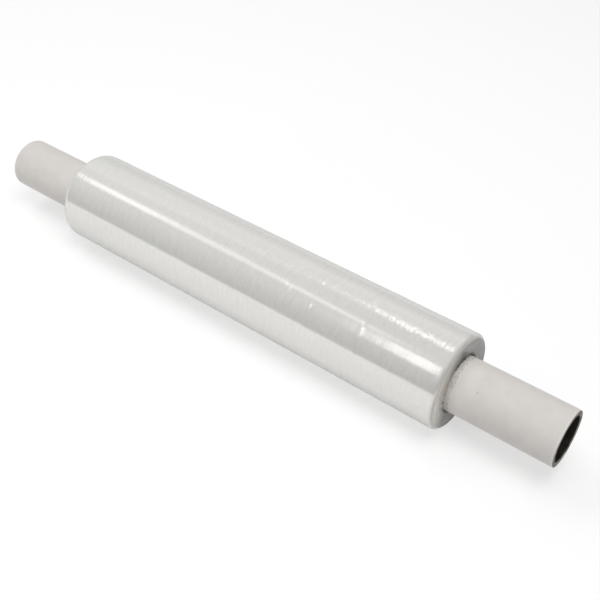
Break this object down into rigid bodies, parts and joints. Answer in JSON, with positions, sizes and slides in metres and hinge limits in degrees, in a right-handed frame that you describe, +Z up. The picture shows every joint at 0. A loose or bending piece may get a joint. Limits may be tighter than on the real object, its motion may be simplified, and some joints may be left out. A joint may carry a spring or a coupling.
{
  "type": "stretch wrap roll",
  "caption": "Roll of clear stretch film wound on a long paperboard tube whose bare ends stand out past the film as hand holds, lying on its side.",
  "frame": {"origin": "middle of the small flat spot under the film, on the surface that the roll lies on, half way along the tube", "axes": "+X along the roll's axis, towards the end with the sharper film shoulder; +Z up"},
  "size_m": [0.578, 0.0816, 0.0812],
  "materials": {
    "paperboard": "matte",
    "stretch_film": "gloss"
  },
  "bodies": {
    "root": {"core_tube": "paperboard", "film_roll": "stretch_film"}
  },
  "joints": []
}
